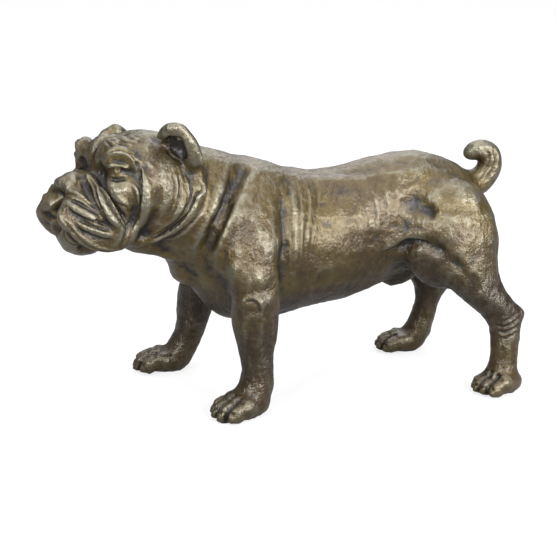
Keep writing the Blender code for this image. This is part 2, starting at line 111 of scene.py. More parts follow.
# Grit of 4 mm, and hair 4 mm wide and 17 mm long, both drawn coarser than real, to show from a step away.
GRIT_SCALE = 280.0
HAIR_SCALE = (240.0, 210.0, 60.0)

# The photograph's frame, in pixels, and how large the statue stands in it.
FRAME_WIDTH = 556
PIXELS_PER_METRE = 734.0
FRAME_SHIFT = 3


def linear(colour):
    """An sRGB hex colour as linear RGBA."""
    channels = [int(colour[k:k + 2], 16) / 255 for k in (0, 2, 4)]
    return tuple(c / 12.92 if c < 0.04045 else ((c + 0.055) / 1.055) ** 2.4 for c in channels) + (1.0,)


class StatueSettings(bpy.types.PropertyGroup):
    skin_square: FloatProperty(
        name="Skin square", description="Side of the small squares that the relief is worked in",
        default=1.9 * MM, min=1.2 * MM, max=5 * MM, unit="LENGTH", precision=4)
    relax_rounds: IntProperty(
        name="Relax rounds", description="How often the cast's facets are smoothed before the folds are cut",
        default=26, min=0, max=100)
    fold_share: FloatProperty(
        name="Fold depth", description="Share of the full depth that the folds are cut to",
        default=1.0, min=0.0, max=2.0, subtype="FACTOR")
    most_triangles: IntProperty(
        name="Most triangles", description="The finished skin is thinned to this many triangles",
        default=190000, min=20000, max=199000)
    brown: FloatVectorProperty(
        name="Patina brown", description="The brown olive of the level places",
        default=linear("403011"), size=4, subtype="COLOR", min=0, max=1)
    gold: FloatVectorProperty(
        name="Golden olive", description="The golden olive where the patina is thin",
        default=linear("544518"), size=4, subtype="COLOR", min=0, max=1)
    # The leg brown is partly patina and partly painted shade of the low parts.
    leg_brown_and_shade: FloatVectorProperty(
        name="Leg brown", description="The darker brown of the legs",
        default=linear("2b1d07"), size=4, subtype="COLOR", min=0, max=1)
    # The hollow brown is patina in folds and creases, and partly painted shade in broad hollows and sheltered
    # places.
    hollow_patina_and_shade: FloatVectorProperty(
        name="Hollow brown", description="The near-black brown that stays in folds and hollows",
        default=linear("151006"), size=4, subtype="COLOR", min=0, max=1)
    # The rubbed grey gold is partly wear and partly a painted highlight on the ridges.
    rubbed_and_highlight: FloatVectorProperty(
        name="Rubbed bronze", description="The grey gold of the ridges that hands have rubbed",
        default=linear("726d5c"), size=4, subtype="COLOR", min=0, max=1)


class StageSettings(bpy.types.PropertyGroup):
    azimuth: FloatProperty(
        name="Camera azimuth", description="Angle of the camera round the statue",
        default=math.radians(-15.5), subtype="ANGLE")
    elevation: FloatProperty(
        name="Camera elevation", description="Angle of the camera above the horizon",
        default=math.radians(15.0), subtype="ANGLE")
    distance: FloatProperty(
        name="Camera distance", description="From the camera to the point that it looks at",
        default=2.2, unit="LENGTH")
    ceiling_light: FloatProperty(
        name="Ceiling light", description="Soft light from straight above, which keeps the floor even",
        default=1.6, min=0, max=20)
    room_low: FloatProperty(
        name="Room glow, low", description="Brightness of the room round the statue at table height",
        default=0.08, min=0, max=5)
    room_high: FloatProperty(
        name="Room glow, high", description="Brightness of the room above the statue",
        default=0.6, min=0, max=5)
    floor_colour: FloatVectorProperty(
        name="Floor", description="Colour of the pale studio floor",
        default=linear("8c8c8c"), size=4, subtype="COLOR", min=0, max=1)
    floor_glow: FloatProperty(
        name="Floor glow", description="How brightly the light table shines through the paper",
        default=0.72, min=0, max=2)


def smooth_line(stations, steps=4):
    """Points on a Catmull-Rom curve through the stations."""
    points = [np.array(station, float) for station in stations]
    points = [2 * points[0] - points[1], *points, 2 * points[-1] - points[-2]]
    line = []
    for a, b, c, d in zip(points, points[1:], points[2:], points[3:]):
        for step in range(steps):
            t = step / steps
            line.append(0.5 * (2 * b + (c - a) * t + (2 * a - 5 * b + 4 * c - d) * t * t
                               + (3 * b - a - 3 * c + d) * t ** 3))
    line.append(points[-2])
    return line


def arc(centre, facing, radii, start, stop, count=7):
    """Stations on an ellipse round a centre, seen by someone it faces: 0 degrees is rearward, 90 is up."""
    x, y, z = centre
    rearward = (math.sin(math.radians(facing)), -math.cos(math.radians(facing)))
    stations = []
    for k in range(count):
        angle = math.radians(start + (stop - start) * k / (count - 1))
        along = radii[0] * math.cos(angle)
        stations.append((x + along * rearward[0], y + along * rearward[1], z + radii[1] * math.sin(angle)))
    return stations


def mirrored(stations):
    """The same stations on the dog's right side."""
    return [(x, -y, z) for x, y, z in stations]


def between(first, last, share):
    """The curve that lies at a share of the way from one curve to another."""
    return [tuple(a + (b - a) * share for a, b in zip(p, q)) for p, q in zip(first, last)]


class Skin:
    """The statue's skin while its relief is worked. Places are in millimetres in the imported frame."""

    def __init__(self, mesh, depth):
        self.mesh = mesh
        self.depth = depth
        self.places = np.empty(len(mesh.vertices) * 3)
        mesh.vertices.foreach_get("co", self.places)
        self.places = self.places.reshape(-1, 3) / MM
        self.edges = np.empty(len(mesh.edges) * 2, int)
        mesh.edges.foreach_get("vertices", self.edges)
        self.edges = self.edges.reshape(-1, 2)
        self.touching = np.bincount(self.edges.ravel(), minlength=len(self.places))
        self.settle()

    def settle(self):
        """Writes the places back, and takes the normals and the search tree anew."""
        self.mesh.vertices.foreach_set("co", (self.places * MM).ravel())
        self.mesh.update()
        self.normals = np.empty(len(self.places) * 3)
        self.mesh.vertex_normals.foreach_get("vector", self.normals)
        self.normals = self.normals.reshape(-1, 3)
        faces = [face.vertices[:] for face in self.mesh.polygons]
        self.tree = BVHTree.FromPolygons(self.places.tolist(), faces)

    def averaged(self, values):
        """For each point, the mean of its neighbours' values."""
        one, other = self.edges.T
        count = len(values)
        if values.ndim == 1:
            total = np.bincount(one, values[other], count) + np.bincount(other, values[one], count)
            return total / self.touching
        return np.stack([self.averaged(column) for column in values.T], 1)

    def relax(self, rounds, strength):
        """Smooths the skin, and then gives back what it shrank by, taken broadly."""
        before = self.places.copy()
        for _ in range(rounds):
            self.places += (self.averaged(self.places) - self.places) * strength[:, None]
        self.settle()
        lost = ((before - self.places) * self.normals).sum(1)
        for _ in range(rounds * 2):
            lost = self.averaged(lost)
        self.places += self.normals * lost[:, None]
        self.settle()

    def sharpen(self, rounds, gain):
        """Lifts the ridges and sinks the creases by a share of what they are already."""
        calm = self.places.copy()
        for _ in range(rounds):
            calm = self.averaged(calm)
        height = ((self.places - calm) * self.normals).sum(1)
        self.places += self.normals * (np.clip(height, -3, 3) * gain)[:, None]
        self.settle()

    def beside(self, stations, reach, where, even):
        """The points near a curve laid on the skin: which they are, how far to its left, and their share."""
        hits = [self.tree.find_nearest(where @ Vector(point)) for point in smooth_line(stations)]
        curve = np.array([hit[0] for hit in hits])
        outward = np.array([hit[1] for hit in hits])[:-1]
        low, high = curve.min(0) - reach, curve.max(0) + reach
        near = np.nonzero(((self.places > low) & (self.places < high)).all(1))[0]
        start, step = curve[:-1], curve[1:] - curve[:-1]
        length = np.linalg.norm(step, axis=1) + 1e-9
        rel = self.places[near][:, None] - start[None]
        share = np.clip((rel * step).sum(2) / length ** 2, 0, 1)
        off = rel - share[..., None] * step
        gap = np.linalg.norm(off, axis=2)
        pick = gap.argmin(1)
        row = np.arange(len(near))
        left = np.cross(outward, step)
        aside = np.where((off[row, pick] * left[pick]).sum(1) < 0, -1, 1) * gap[row, pick]
        run = np.concatenate(([0], np.cumsum(length)))
        place = (run[pick] + share[row, pick] * length[pick]) / run[-1]
        weight = (self.normals[near] * outward[pick]).sum(1) > 0.1
        if not even:
            ends = np.clip(np.minimum(place, 1 - place) / 0.3, 0, 1)
            weight = weight * ends * ends * (3 - 2 * ends)
        return near, aside, weight * self.depth

    def band(self, stations, width, height, where=FIGURE, even=False):
        """Raises a soft band along a curve, or sinks it where the height is below 0."""
        near, aside, weight = self.beside(stations, width, where, even)
        rise = height * np.clip(1 - (aside / width) ** 2, 0, 1) ** 2 * weight
        self.places[near] += self.normals[near] * rise[:, None]

    def fold(self, stations, width, height, where=FIGURE, hand=1):
        """Lays the skin on the left of a curve over the skin on its right, or the other way for hand -1."""
        near, aside, weight = self.beside(stations, width, where, False)
        aside = aside * hand
        over = np.clip(1 - aside / width, 0, 1) ** 2 * 0.75
        under = -np.clip(1 + aside / (0.6 * width), 0, 1) ** 2 * 0.9
        blend = np.clip(0.5 + aside / 4.0, 0, 1)
        blend = blend * blend * (3 - 2 * blend)
        rise = height * (over * blend + under * (1 - blend)) * weight
        self.places[near] += self.normals[near] * rise[:, None]

    def soften(self, centre, radius, rounds, where=FIGURE):
        """Smooths a round place, most in its middle."""
        middle = np.array(self.tree.find_nearest(where @ Vector(centre))[0])
        strength = np.clip(1 - (np.linalg.norm(self.places - middle, axis=1) / radius) ** 2, 0, 1)
        for _ in range(rounds):
            self.places += (self.averaged(self.places) - self.places) * strength[:, None]
        self.settle()

    def thicken(self, stations, radius, height):
        """Swells the skin all round a curve inside the cast."""
        core = np.array([FIGURE @ Vector(point) for point in smooth_line(stations)])
        distance = np.linalg.norm(self.places[:, None] - core[None], axis=2).min(1)
        rise = height * np.clip(1 - (distance / radius) ** 4, 0, 1)
        self.places += self.normals * rise[:, None]
        self.settle()

    def spot(self, centre, radius, height, where=FIGURE):
        """Raises or sinks a round spot."""
        middle, outward, _, _ = self.tree.find_nearest(where @ Vector(centre))
        distance = np.linalg.norm(self.places - np.array(middle), axis=1)
        facing = (self.normals * np.array(outward)).sum(1) > 0.1
        profile = np.clip(1 - (distance / radius) ** 2, 0, 1) ** 2
        self.places += self.normals * (height * self.depth * profile * facing)[:, None]


# Curves of the face, in the head's frame, on its left side.
NOSE_ROLL = [(-22, -6, 0), (-28, -20, -10), (-30, -39, -24), (-28, -51, -40), (-19, -58, -60), (-6, -60, -80)]
CHEEK_INNER = [(-10, -32, -6), (-10, -44, -16), (-8, -54, -28), (-1, -60, -42), (8, -60, -58), (8, -58, -76)]
EYE_POUCH = [(6, -60, -12), (14, -66, -22), (18, -69, -36), (17, -67, -52), (13, -62, -68)]
BROW_TO_JAW = [(-21, -33, 8), (-15, -39, 19), (-2, -46, 24), (11, -54, 19), (19, -58, 6), (20, -66, -8),
               (18, -71, -26), (17, -71, -44), (12, -66, -62), (5, -60, -80), (-4, -53, -96)]
WHISKER_TOP = [(-60, -16, -28), (-54, -34, -30), (-46, -46, -36), (-34, -54, -46)]
WHISKER_LOW = [(-60, -46, -70), (-48, -52, -80), (-32, -56, -88), (-14, -60, -90)]
LIP_EDGE = [(-78, -8, -40), (-82, -24, -50), (-75, -40, -64), (-64, -46, -80), (-48, -48, -94),
            (-28, -52, -102), (-4, -56, -104)]
COLLAR = [(98, -68, -8), (95, -80, -29), (87, -84, -48), (74, -80, -66), (58, -68, -82), (38, -56, -94),
          (14, -48, -102)]

# Curves of the neck and the body, in the figure's frame, on the left side.
RIB_FRONT = [(16, -44, 302), (12, -74, 279), (8, -92, 250), (9, -99, 218), (8, -96, 184)]
RIB_REAR = [(52, -44, 292), (48, -71, 270), (39, -87, 247), (32, -95, 222), (30, -92, 196)]
FLANK_FRONT = [(124, -44, 293), (128, -63, 270), (130, -73, 245), (126, -76, 219)]
FLANK_REAR = [(146, -48, 290), (150, -63, 269), (148, -72, 244), (142, -74, 222)]
NECK_CREASE = [(-38, -30, 326), (-57, -62, 307), (-75, -84, 286), (-89, -94, 260), (-100, -92, 233),
               (-108, -78, 206)]
NECK_FOLD = [(-88, -46, 332), (-97, -74, 310), (-108, -90, 286), (-118, -92, 262)]


def carve_eyes(skin):
    """Sinks the sockets, raises the eyeballs in them and lays the lids round them."""
    for flip in (list, mirrored):
        skin.spot(flip([EYE])[0], 16, -4.4, HEAD)
        skin.settle()
        skin.spot(flip([EYE])[0], 7.0, 1.9, HEAD)
        skin.spot(flip([EYE])[0], 3.4, -2.6, HEAD)
        skin.band(flip(arc(EYE, EYE_FACING, (13, 6.5), 190, -30)), 4.4, 3.2, HEAD)
        skin.band(flip(arc(EYE, EYE_FACING, (12, 8), 345, 200)), 3.6, 1.2, HEAD)
        skin.band(flip(arc(EYE, EYE_FACING, (17, 13.5), 330, 215)), 4.5, -1.8, HEAD)
    skin.settle()
    skin.soften((-7, 54, -2), 24, 5, HEAD)


def carve_face(skin):
    """Cuts the folds of brow, muzzle, cheek, lip, collar and forehead, and calms what they tangle."""
    skin.soften((-72, -2, -86), 30, 70, HEAD)
    skin.spot((-72, -8, -86), 28, 9, HEAD)
    skin.settle()
    for flip, hand in ((list, 1), (mirrored, -1)):
        near = 1.0 if hand == 1 else FAR_BROW_DEPTH
        skin.fold(flip(BROW_TO_JAW), 11, 4.6 * near, HEAD, hand)
        skin.band(flip(arc(EYE, EYE_FACING, (32, 30), 140, -5)), 4.5, -2.6 * near, HEAD)
        skin.fold(flip(arc(EYE, EYE_FACING, (38, 36), 130, -5)), 9, 2.4 * near, HEAD, hand)
        skin.band(flip(arc(EYE, EYE_FACING, (45, 42), 125, 35)), 4, -1.5 * near, HEAD)
        for share, width, height in ((-0.25, 8, 1.6), (0.0, 9, 4.2), (0.34, 8, 3.6), (0.66, 8, 3.8),
                                     (1.0, 7, 3.0)):
            skin.fold(flip(between(NOSE_ROLL, CHEEK_INNER, share)), width, height, HEAD, hand)
        skin.fold(flip([(x - 1, y, z) for x, y, z in EYE_POUCH]), 8, 3.6, HEAD, -hand)
        skin.band(flip([(x - 10, y, z - 3) for x, y, z in BROW_TO_JAW[6:]]), 5, -2.4, HEAD)
        for share, height in ((-0.02, 2.0), (0.2, 3.0), (0.42, 3.4), (0.64, 3.2), (0.86, 2.4)):
            skin.fold(flip(between(WHISKER_TOP, WHISKER_LOW, share)), 9, height, HEAD, hand)
        skin.fold(flip([(x + 3, y - 1, z + 2) for x, y, z in LIP_EDGE[1:]]), 7, 3.0, HEAD, hand)
        skin.fold(flip(COLLAR), 9, 3.6, HEAD, hand)
        skin.fold(flip([(x - 8, y, z + 3) for x, y, z in COLLAR]), 7, 2.4, HEAD, hand)
        skin.fold(flip([(x + 10, y, z - 4) for x, y, z in COLLAR]), 9, 2.2, HEAD, hand)
        for along in (59, 67, 75, 83):
            line = [(along, -62, -4), (along + 2, -75, -26), (along - 5, -79, -52), (along - 18, -74, -70)]
            skin.fold(flip(line), 6, 1.9, HEAD, hand)
    skin.settle()
    for flip, hand in ((list, 1), (mirrored, -1)):
        for along, height in ((-6, 2.8), (5, 3.2), (16, 3.2), (28, 2.6), (40, 1.6)):
            line = [(along + 4, -3, 40), (along - 2, -14, 40), (along + 1, -26, 34), (along + 12, -38, 28)]
            skin.fold(flip(line), 7, height, HEAD, -hand)
        skin.fold(flip([(-26, -4, -2), (-36, -16, -4), (-44, -22, -16), (-46, -26, -30)]), 7, 1.8, HEAD, hand)
        skin.spot(flip([(-64, -10, -28)])[0], 6, -1.6, HEAD)
        for place, radius, height in (((22, -34, 28), 9, 2.4), ((12, -24, 36), 8, 2.0),
                                      ((34, -28, 33), 8, 1.8)):
            skin.spot(flip([place])[0], radius, height, HEAD)
    skin.band([(-14, 0, 8), (4, 0, 24), (24, 0, 36), (52, 0, 38)], 8, -2.6, HEAD)
    skin.band([(-64, 0, -34), (-78, 0, -46), (-87, 0, -60)], 12, 6, HEAD)
    skin.settle()
    lip_crease = [(-81, -16, -44), (-83, -22, -58), (-79, -26, -74), (-68, -32, -90), (-50, -39, -101)]
    skin.fold(lip_crease, 9, 3.4, HEAD)
    skin.settle()
    skin.soften((-72, 20, -31), 24, 12, HEAD)
    for side in (-1, 1):
        skin.soften((27, side * 56, 10), 13, 8, HEAD)
        skin.soften((14, side * 59, -54), 13, 8, HEAD)
        skin.soften((30, side * 47, -98), 20, 14, HEAD)
        skin.soften((12, side * 50, -100), 16, 10, HEAD)


def carve_ears(skin):
    """Hollows the left ear and rolls its rim."""
    skin.band([(60, -60, 34), (69, -65, 22), (80, -70, 6)], 10, -5, HEAD)
    skin.settle()
    skin.fold([(63, -57, 30), (70, -62, 18), (77, -67, 4)], 6, 2.5, HEAD)
    rim = [(64, -64, 47), (76, -73, 42), (84, -78, 30), (91, -82, 14), (97, -86, 0)]
    skin.band(rim, 4, 1.2, HEAD, even=True)
    skin.settle()


def carve_neck_and_body(skin):
    """Cuts the creases of the neck, and the soft folds of ribs and flank."""
    for flip, hand in ((list, 1), (mirrored, -1)):
        skin.band(flip(NECK_CREASE[1:]), 9, -1.2)
        for share, width, height in ((0.36, 13, 3.4), (0.95, 12, 1.4)):
            skin.band(flip(between(NECK_CREASE[1:4], NECK_FOLD[1:], share)), width, height)
        skin.soften(flip([(196, -72, 258)])[0], 34, 50)
        for place, radius, height in (((186, -72, 266), 22, -2.2), ((204, -76, 252), 16, -2.6),
                                      ((196, -78, 240), 14, 1.6), ((212, -70, 272), 18, 1.4)):
            skin.spot(flip([place])[0], radius, height)
        for share, height in ((-0.28, 0.7), (0.06, 1.0), (0.4, 1.1), (0.74, 1.0), (1.1, 0.7)):
            skin.fold(flip(between(RIB_FRONT, RIB_REAR, share)), 11, height, hand=hand)
        for share, height in ((-0.6, 0.5), (0.1, 0.8), (0.9, 0.7)):
            skin.fold(flip(between(FLANK_FRONT, FLANK_REAR, share)), 12, height, hand=hand)
        belly = [(136, -70, 200), (160, -68, 210), (182, -73, 218), (206, -88, 214)]
        skin.fold(flip(belly), 16, 3.2, hand=hand)
    skin.settle()


def work_surface(skin):
    """The low lumps and hollows of a hand-modelled surface, 50, 20 and 8 mm across."""
    rise = np.zeros(len(skin.places))
    for size, height in ((50, 1.5), (20, 0.9), (8, 0.5)):
        rise += height * np.array([noise.noise(Vector(place)) for place in (skin.places / size).tolist()])
    skin.places += skin.normals * rise[:, None]
    skin.settle()


# Each paw: the place of its middle, its heading in degrees from -X towards the dog's left, and its size.
PAWS = ((-47, -108, 18, 0.98), (-106, 106, -8, 0.98), (315, -106, 14, 0.9), (252, 106, -8, 0.9))


def carve_legs(skin):
    """Parts the toes, and cuts the wrinkles of wrist and hock and the long hollows of the legs."""
    for x, y, heading, size in PAWS:
        paw = (FIGURE @ Matrix.Translation((x, y, 2)) @ Matrix.Rotation(math.radians(heading), 4, "Z")
               @ Matrix.Scale(size, 4))
        for place in (-1, 0, 1):
            y = place * TOE_SPACING
            skin.band([(-31, y * 0.9, 31), (-41, y, 24), (-50, y, 14), (-52, y, 4)], 5, -3.2, paw, even=True)
        for place, lead in ((-1.5, 0), (-0.5, 8), (0.5, 8), (1.5, 0)):
            y = place * TOE_SPACING
            skin.band([(-46 - lead, y - 5, 14), (-48 - lead, y, 16), (-46 - lead, y + 5, 14)], 3.5, -1.8, paw)
            skin.band([(-32 - lead, y - 7, 27), (-32 - lead, y, 29), (-32 - lead, y + 7, 27)], 5, -1.2, paw)
    for side, front_step, hind_step in ((1, 0, 0), (-1, FAR_FRONT_STEP, FAR_HIND_STEP)):
        def placed(stations, step, top):
            return [(x + step * (1 - z / top), side * y, z) for x, y, z in stations]

        ring = arc((-55, -126, 151), 80, (12, 13), 170, -60)
        skin.fold(placed(ring, front_step, FRONT_PIVOT), 12, 1.8, hand=side)
        for level in (60, 51, 42):
            wrinkle = arc((-43, -107, level), 88, (23, 2), 180, 0)
            skin.fold(placed(wrinkle, front_step, FRONT_PIVOT), 7, 1.4, hand=side)
        for x, depth in ((-57, -1.0), (-34, -1.4)):
            sinew = [(x, -128, 146), (x + 2, -126, 105), (x + 3, -124, 70)]
            skin.band(placed(sinew, front_step, FRONT_PIVOT), 10, depth)
        for level, height in ((111, 1.6), (103, 2.2), (95, 2.4), (87, 2.0)):
            wrinkle = [(289, -108, level - 2), (300, -118, level - 5), (314, -116, level),
                       (326, -104, level + 5)]
            skin.fold(placed(wrinkle, hind_step, HIND_PIVOT), 7, height, hand=side)
        for x in (300, 313):
            sinew = [(x, -118, 76), (x, -118, 54), (x - 2, -120, 36)]
            skin.band(placed(sinew, hind_step, HIND_PIVOT), 6, -0.7)
        thigh = [(222, -108, 200), (240, -112, 180), (262, -112, 156)]
        skin.band(placed(thigh, hind_step, HIND_PIVOT), 12, -3.0)
    skin.settle()


def carve_tail(skin):
    """Swells the coiled tail, and cuts two grooves along each of its sides."""
    coil = [(292, 0, 270), (304, 0, 277), (314, 0, 289), (320, 0, 304), (316, 0, 318), (304, 2, 323)]
    skin.thicken(coil, 26, 1.9)
    for side in (-1, 1):
        for shift in (-4, 3):
            line = [(x + shift, side * 12, z) for x, _, z in coil]
            skin.band(line, 4.0, -1.4)
    skin.settle()


def keep_in_box(skin):
    """The relief stays inside the cast's box, and the soles stay flat on the ground."""
    low, high = (np.array(tuple(corner)) / MM for corner in CAST_BOX)
    sole = skin.places[:, 2] < SOLE_HEIGHT
    skin.places[sole, 2] = 0.0
    skin.places = np.clip(skin.places, low, high)
    skin.settle()


def drop_fins(mesh):
    """Deletes pairs of faces that lie back to back, which thinning can leave behind."""
    skin = bmesh.new()
    skin.from_mesh(mesh)
    fins = [point for point in skin.verts if len(point.link_edges) < 3]
    bmesh.ops.delete(skin, geom=fins, context="VERTS")
    skin.to_mesh(mesh)
    skin.free()


def store_relief(mesh):
    """Keeps, for the patina and the painted shade, how far each point stands out of its surroundings, and how
    sheltered it is.
    """
    skin = Skin(mesh, 1.0)
    blocked = np.zeros(len(skin.places))
    start = skin.places + skin.normals * 1.5
    across = np.cross(skin.normals, (0.36, 0.48, 0.8))
    across /= np.linalg.norm(across, axis=1)[:, None]
    along = np.cross(skin.normals, across)
    for k in range(SHELTER_RAYS):
        rise = math.sqrt((k + 0.5) / SHELTER_RAYS)
        turn = k * GOLDEN_ANGLE
        out = math.sqrt(1 - rise * rise)
        ways = skin.normals * rise + (across * math.cos(turn) + along * math.sin(turn)) * out
        hits = [skin.tree.ray_cast(place, way, SHELTER_REACH)[0]
                for place, way in zip(start.tolist(), ways.tolist())]
        blocked += np.array([hit is not None for hit in hits])
    for _ in range(4):
        blocked = skin.averaged(blocked)
    shelter = mesh.attributes.new("shelter", "FLOAT", "POINT")
    shelter.data.foreach_set("value", (blocked / SHELTER_RAYS).astype(np.float32))
    for name, rounds, span in (("fine_relief", 12, 2.4), ("broad_relief", 90, 12.0)):
        calm = skin.places.copy()
        for _ in range(rounds):
            calm += (skin.averaged(calm) - calm) * 0.8
        height = ((skin.places - calm) * skin.normals).sum(1) / span
        relief = mesh.attributes.new(name, "FLOAT", "POINT")
        relief.data.foreach_set("value", np.clip(0.5 + height, 0, 1).astype(np.float32))


def add_node(tree, kind, settings=None, **links):
    """A node with its settings, and its inputs linked or set. A key such as Scale or i0 names the input."""
    node = tree.nodes.new(kind)
    for key, value in (settings or {}).items():
        setattr(node, key, value)
    for key, value in links.items():
        socket = node.inputs[int(key[1:])] if key[0] == "i" and key[1:].isdigit() else node.inputs[key]
        if isinstance(value, bpy.types.NodeSocket):
            tree.links.new(value, socket)
        else:
            socket.default_value = value
    return node


# Settings that several nodes share.
CLAMPED = {"clamp": True}
COLOURS = {"data_type": "RGBA"}
ADD = {"operation": "ADD"}
MULTIPLY = {"operation": "MULTIPLY"}
MULTIPLY_ADD = {"operation": "MULTIPLY_ADD"}
MAXIMUM = {"operation": "MAXIMUM"}


def cast_bronze(settings):
    """Cast bronze, chased, patinated brown olive and waxed.

    The eye sees a semi-gloss skin: near black in the folds, as patina, and in broad hollows and sheltered
    places, partly patina and partly painted shade; golden olive where the patina is thin; darker brown on the
    legs, partly patina and partly painted shade; and grey gold on the ridges and paws, partly where hands and
    weather have rubbed it and partly a painted highlight.
    """
    material = bpy.data.materials.new("cast patinated bronze")
    material.use_nodes = True
    tree = material.node_tree
    shader = tree.nodes["Principled BSDF"]

    place = add_node(tree, "ShaderNodeTexCoord").outputs["Object"]
    axes = add_node(tree, "ShaderNodeSeparateXYZ", i0=place).outputs
    fine, broad, shelter = (
        add_node(tree, "ShaderNodeAttribute", {"attribute_name": name}).outputs["Fac"]
        for name in ("fine_relief", "broad_relief", "shelter"))
    clouds, stains, grit = (
        add_node(tree, "ShaderNodeTexNoise", Vector=place, Scale=scale, Detail=detail,
                 Roughness=roughness).outputs["Fac"]
        for scale, detail, roughness in (
            (CLOUD_SCALE, 5.0, 0.6), (STAIN_SCALE, 4.0, 0.65), (GRIT_SCALE, 3.0, 0.6)))

    # Clouds of thin patina, where the golden olive shows.
    thin = add_node(tree, "ShaderNodeMapRange", CLAMPED, Value=clouds, i1=0.38, i2=0.64).outputs[0]
    ground = add_node(tree, "ShaderNodeMix", COLOURS, i0=thin, i6=settings.brown, i7=settings.gold).outputs[2]

    # The legs keep a darker brown, partly patina and partly painted shade of the low parts, most at 70 to 110
    # mm above the ground in front and 45 mm higher behind.
    level = add_node(tree, "ShaderNodeMath", MULTIPLY_ADD, i0=axes["X"], i1=-0.12, i2=axes["Z"]).outputs[0]
    level = add_node(tree, "ShaderNodeMath", MULTIPLY_ADD, i0=clouds, i1=0.12, i2=level).outputs[0]
    below = add_node(tree, "ShaderNodeMapRange", CLAMPED, Value=level, i1=0.26, i2=0.18).outputs[0]
    above = add_node(tree, "ShaderNodeMapRange", CLAMPED, Value=level, i1=0.03, i2=0.14).outputs[0]
    leg_patina_and_shade = add_node(tree, "ShaderNodeMath", MULTIPLY, i0=below, i1=above).outputs[0]
    ground = add_node(tree, "ShaderNodeMix", COLOURS, i0=leg_patina_and_shade, i6=ground, i7=settings.leg_brown_and_shade).outputs[2]

    # Grit and stains break the line between hollow and ridge.
    grit_lift = add_node(tree, "ShaderNodeMath", MULTIPLY_ADD, i0=grit, i1=0.55, i2=-0.275).outputs[0]
    stain_lift = add_node(tree, "ShaderNodeMath", MULTIPLY_ADD, i0=stains, i1=0.2, i2=-0.1).outputs[0]
    relief = add_node(tree, "ShaderNodeMath", ADD, i0=fine, i1=grit_lift).outputs[0]
    relief = add_node(tree, "ShaderNodeMath", ADD, i0=relief, i1=stain_lift).outputs[0]

    # The hollow brown is patina kept in creases, and partly patina, partly painted shade in broad hollows and
    # in sheltered places.
    crease = add_node(tree, "ShaderNodeMapRange", CLAMPED, Value=relief, i1=0.51, i2=0.14).outputs[0]
    # Broad hollows: partly patina, partly painted shade.
    hollow_patina_and_shade = add_node(tree, "ShaderNodeMapRange", CLAMPED, Value=broad, i1=0.44, i2=0.1).outputs[0]
    # Painted shade, partly patina too: sheltered places take the hollow brown.
    sheltered_patina_and_shade = add_node(tree, "ShaderNodeMapRange", CLAMPED, Value=shelter, i1=0.3, i2=0.8,
                         i4=0.9).outputs[0]
    # Patina and painted shade together: the strongest of the crease, hollow and shelter masks.
    patina_and_shade = add_node(tree, "ShaderNodeMath", MAXIMUM, i0=crease, i1=hollow_patina_and_shade).outputs[0]
    patina_and_shade = add_node(tree, "ShaderNodeMath", MAXIMUM, i0=patina_and_shade, i1=sheltered_patina_and_shade).outputs[0]
    colour = add_node(tree, "ShaderNodeMix", COLOURS, i0=patina_and_shade, i6=ground, i7=settings.hollow_patina_and_shade).outputs[2]

    # Ridges turn grey gold and more metallic, less so low down: partly rubbed bare metal, partly a painted
    # highlight.
    ridge = add_node(tree, "ShaderNodeMapRange", CLAMPED, Value=relief, i1=0.62, i2=1.0).outputs[0]
    higher_up = add_node(tree, "ShaderNodeMapRange", CLAMPED, Value=level, i1=0.2, i2=0.32, i3=0.35).outputs[0]
    rubbed_and_highlight = add_node(tree, "ShaderNodeMath", MULTIPLY, i0=ridge, i1=higher_up).outputs[0]
    colour = add_node(tree, "ShaderNodeMix", COLOURS, i0=rubbed_and_highlight, i6=colour, i7=settings.rubbed_and_highlight).outputs[2]
    metal = add_node(tree, "ShaderNodeMapRange", CLAMPED, Value=rubbed_and_highlight, i3=0.5, i4=0.85).outputs[0]
    rough = add_node(tree, "ShaderNodeMapRange", CLAMPED, Value=patina_and_shade, i3=0.28, i4=0.55).outputs[0]
    rough = add_node(tree, "ShaderNodeMath", MULTIPLY_ADD, i0=grit, i1=0.2, i2=rough).outputs[0]

    # Chased hair, four times as long as it is wide, which lies down and backwards.
    lie = add_node(tree, "ShaderNodeMapping", Vector=place, Rotation=(0, math.radians(38), 0),
                   Scale=HAIR_SCALE).outputs[0]
    hair = add_node(tree, "ShaderNodeTexNoise", Vector=lie, Scale=1.0, Detail=3.0,
                    Roughness=0.55).outputs["Fac"]
    normal = None
    for height, strength, depth in ((stains, 0.5, 4.0), (hair, 0.6, 1.5), (grit, 0.7, 1.2)):
        bump = add_node(tree, "ShaderNodeBump", Height=height, Strength=strength, Distance=depth * MM)
        if normal:
            tree.links.new(normal, bump.inputs["Normal"])
        normal = bump.outputs[0]

    for name, value in (("Base Color", colour), ("Metallic", metal), ("Roughness", rough), ("Normal", normal),
                        ("Coat Normal", normal)):
        tree.links.new(value, shader.inputs[name])
    shader.inputs["Coat Weight"].default_value = 0.6
    shader.inputs["Coat Roughness"].default_value = 0.25
    return material


def studio_floor(settings):
    """Matt white paper on a photographer's light table: even and nearly without shadow."""
    material = bpy.data.materials.new("white studio paper")
    material.use_nodes = True
    tree = material.node_tree
    shader = tree.nodes["Principled BSDF"]
    shader.inputs["Base Color"].default_value = settings.floor_colour
    shader.inputs["Roughness"].default_value = 0.9
    shader.inputs["Specular IOR Level"].default_value = 0.1
    shader.inputs["Emission Color"].default_value = linear("ffffff")
    seen = add_node(tree, "ShaderNodeLightPath").outputs["Is Camera Ray"]
    glow = add_node(tree, "ShaderNodeMath", MULTIPLY, i0=seen, i1=settings.floor_glow)
    tree.links.new(glow.outputs[0], shader.inputs["Emission Strength"])
    return material


